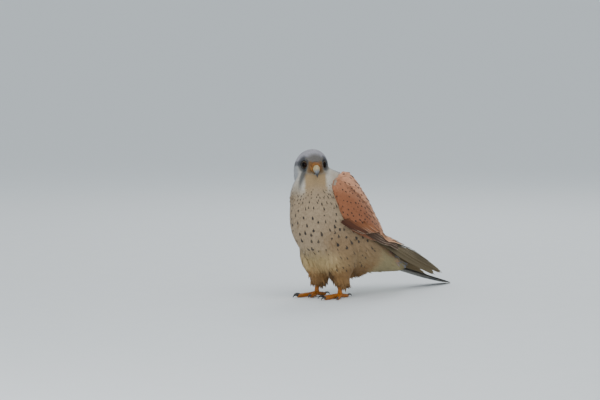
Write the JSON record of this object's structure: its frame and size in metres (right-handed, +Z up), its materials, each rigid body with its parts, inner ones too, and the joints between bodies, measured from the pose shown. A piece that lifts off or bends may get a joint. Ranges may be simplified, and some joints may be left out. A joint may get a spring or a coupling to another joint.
{
  "type": "common kestrel",
  "caption": "Adult male common kestrel standing with folded wings and its tail tip on the ground, head turned to its left.",
  "frame": {"origin": "the floor under the middle of the bird's bounding box", "axes": "+Z up, -Y the way the body faces, +X the bird's left"},
  "size_m": [0.0832, 0.2646, 0.1751],
  "materials": {
    "head_feathers": "matte",
    "breast_feathers": "matte",
    "wing_feathers": "matte",
    "tail_feathers": "matte",
    "bare_skin": "satin",
    "bill_horn": "satin",
    "claw_horn": "gloss",
    "eye_surface": "gloss"
  },
  "bodies": {
    "root": {"head": "head_feathers", "neck": "breast_feathers", "torso": "breast_feathers", "tail": "tail_feathers", "wing_left": "wing_feathers", "wing_right": "wing_feathers", "thigh_left": "breast_feathers", "thigh_right": "breast_feathers", "tarsus_left": "bare_skin", "tarsus_right": "bare_skin", "foot_left": "bare_skin", "foot_right": "bare_skin", "claw_left_inner": "claw_horn", "claw_left_middle": "claw_horn", "claw_left_outer": "claw_horn", "claw_left_back": "claw_horn", "claw_right_inner": "claw_horn", "claw_right_middle": "claw_horn", "claw_right_outer": "claw_horn", "claw_right_back": "claw_horn", "bill_upper": "bill_horn", "bill_lower": "bill_horn", "cere": "bare_skin", "eye_left": "eye_surface", "eye_right": "eye_surface"}
  },
  "joints": []
}
